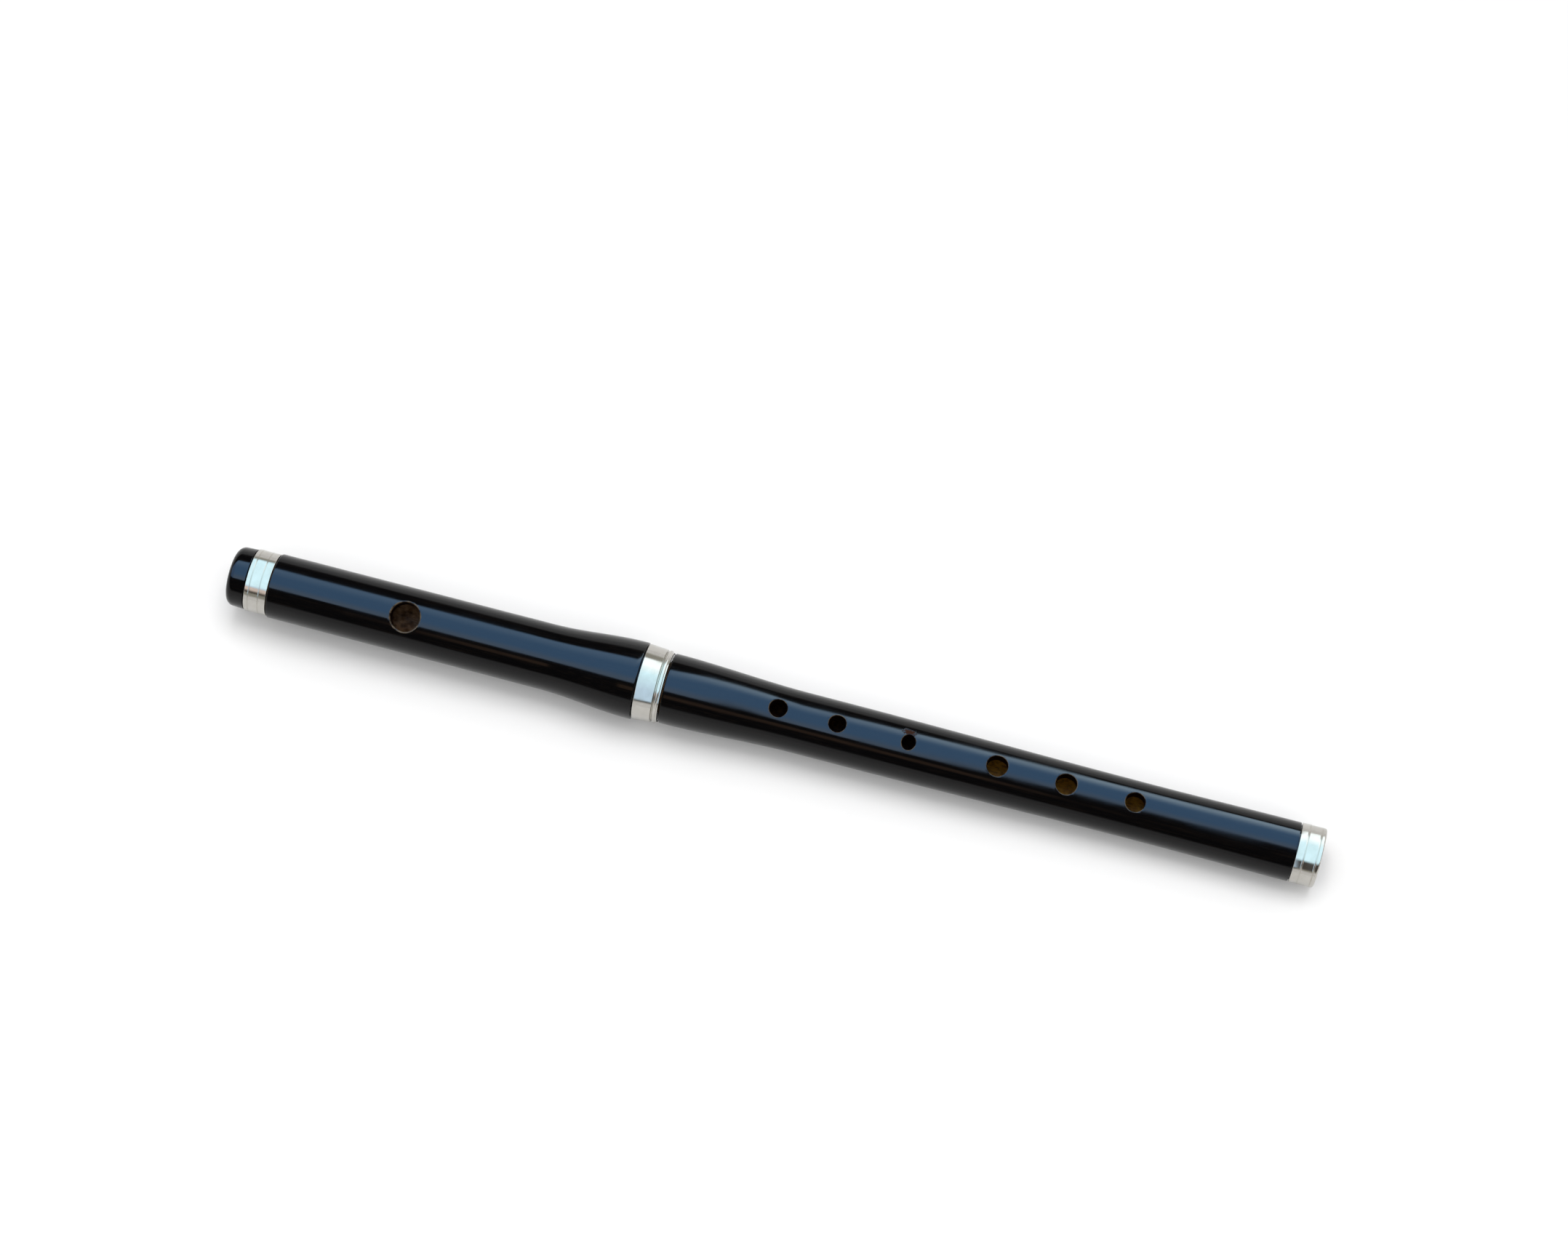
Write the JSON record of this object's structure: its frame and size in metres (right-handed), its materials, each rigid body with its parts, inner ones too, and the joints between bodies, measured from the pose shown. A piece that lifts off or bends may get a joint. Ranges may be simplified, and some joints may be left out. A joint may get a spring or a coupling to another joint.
{
  "type": "irish flute",
  "caption": "Keyless two-joint wooden flute: round head with embouchure and bulbous socket, tapered body with a line of finger holes, metal ferrules and a push-in crown.",
  "frame": {"origin": "on the bore axis, half way between the crown's end and the foot's end", "axes": "+X along the bore towards the foot; +Z out through the finger holes; -Y towards the player, where the embouchure is turned in"},
  "size_m": [0.3152, 0.022, 0.022],
  "materials": {
    "lacquered_wood": "ebonised, gloss lacquer",
    "nickel_silver": "polished",
    "cork": "matte, natural cork"
  },
  "bodies": {
    "body": {"body_tube": "lacquered_wood", "foot_ring": "nickel_silver"},
    "tenon_lap": {"tenon_cork": "cork"},
    "head": {"head_tube": "lacquered_wood", "head_end_ring": "nickel_silver", "head_socket_ring": "nickel_silver"},
    "stopper": {"stopper_cork": "cork"},
    "crown_lap": {"crown_cork": "cork"},
    "crown": {"crown_cap": "lacquered_wood"}
  },
  "joints": [
    {"name": "head_turn", "type": "hinge", "parent": "body", "child": "tenon_lap", "pos_m": [-0.0424, 0, 0], "axis": [1, 0, 0], "continuous": true},
    {"name": "head_pull", "type": "slide", "parent": "tenon_lap", "child": "head", "axis": [-1, 0, 0], "range_m": [0, 0.032]},
    {"name": "stopper_slide", "type": "slide", "parent": "head", "child": "stopper", "axis": [1, 0, 0], "range_m": [-0.006, 0.004]},
    {"name": "crown_pull", "type": "slide", "parent": "head", "child": "crown_lap", "axis": [-1, 0, 0], "range_m": [0, 0.016]},
    {"name": "crown_turn", "type": "hinge", "parent": "crown_lap", "child": "crown", "pos_m": [-0.1471, 0, 0], "axis": [1, 0, 0], "continuous": true}
  ]
}
